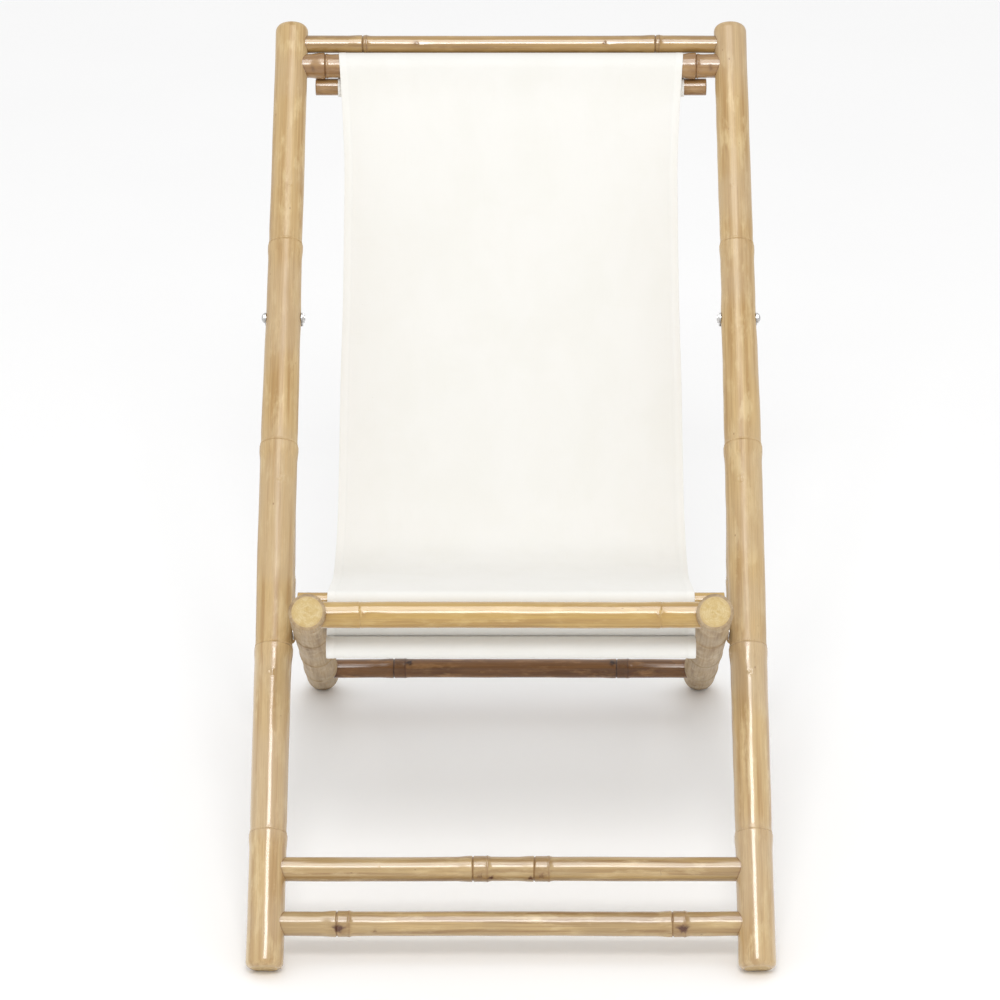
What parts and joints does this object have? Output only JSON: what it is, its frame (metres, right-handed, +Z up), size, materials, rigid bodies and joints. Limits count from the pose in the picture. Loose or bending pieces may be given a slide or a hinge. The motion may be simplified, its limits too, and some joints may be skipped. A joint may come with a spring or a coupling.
{
  "type": "bamboo folding recliner",
  "caption": "Folding sling recliner with bamboo poles and rails, an off-white canvas seat held by rods in its hems, and a hinged rear prop that rests in notches.",
  "frame": {"origin": "middle of the chair's footprint, on the floor", "axes": "+X to the chair's right as seen from the front, +Y to the rear, +Z up"},
  "size_m": [0.6012, 0.8136, 0.8983],
  "materials": {
    "bamboo_pole": "lacquered bamboo, glossy",
    "bamboo_rail": "lacquered golden bamboo, glossy",
    "bamboo_brown": "lacquered darker bamboo, glossy",
    "bamboo_pin": "plain",
    "canvas": "fine plain-weave cotton canvas, off-white",
    "zinc_steel": "zinc plated"
  },
  "bodies": {
    "back_frame": {"back_pole_left": "bamboo_pole", "back_pole_right": "bamboo_pole", "top_rail": "bamboo_rail", "canvas_rail": "bamboo_brown", "foot_rail_upper": "bamboo_rail", "foot_rail_lower": "bamboo_rail", "back_rail_pins": "bamboo_pin", "hem_rod_top": "bamboo_brown", "sling_canvas": "canvas", "main_pivot_bolts": "zinc_steel", "main_pivot_nuts": "zinc_steel", "main_pivot_washers": "zinc_steel", "pivot_spacers": "zinc_steel", "prop_pivot_bolts": "zinc_steel", "prop_pivot_nuts": "zinc_steel"},
    "seat_frame": {"seat_pole_left": "bamboo_pole", "seat_pole_right": "bamboo_pole", "front_rail": "bamboo_rail", "canvas_bar_front": "bamboo_rail", "canvas_bar_screws": "zinc_steel", "rear_crossbar": "bamboo_brown", "seat_rail_pins": "bamboo_pin", "hem_rod_front": "bamboo_brown"},
    "prop_frame": {"prop_pole_left": "bamboo_rail", "prop_pole_right": "bamboo_rail", "prop_crossbar": "bamboo_brown", "prop_pins": "bamboo_pin", "prop_hinge_straps": "zinc_steel", "strap_rivets": "zinc_steel"}
  },
  "joints": [
    {"name": "seat_fold", "type": "hinge", "parent": "back_frame", "child": "seat_frame", "pos_m": [0, -0.14009, 0.31134], "axis": [-1, 0, 0], "range_deg": [0, 93.5], "deforming": ["sling_canvas"]},
    {"name": "prop_fold", "type": "hinge", "parent": "back_frame", "child": "prop_frame", "pos_m": [0, 0.10682, 0.60559], "axis": [-1, 0, 0], "range_deg": [0, 34.7]}
  ],
  "couplings": [
    {"joint": "prop_fold", "follows": "seat_fold", "ratio": 0.37}
  ]
}
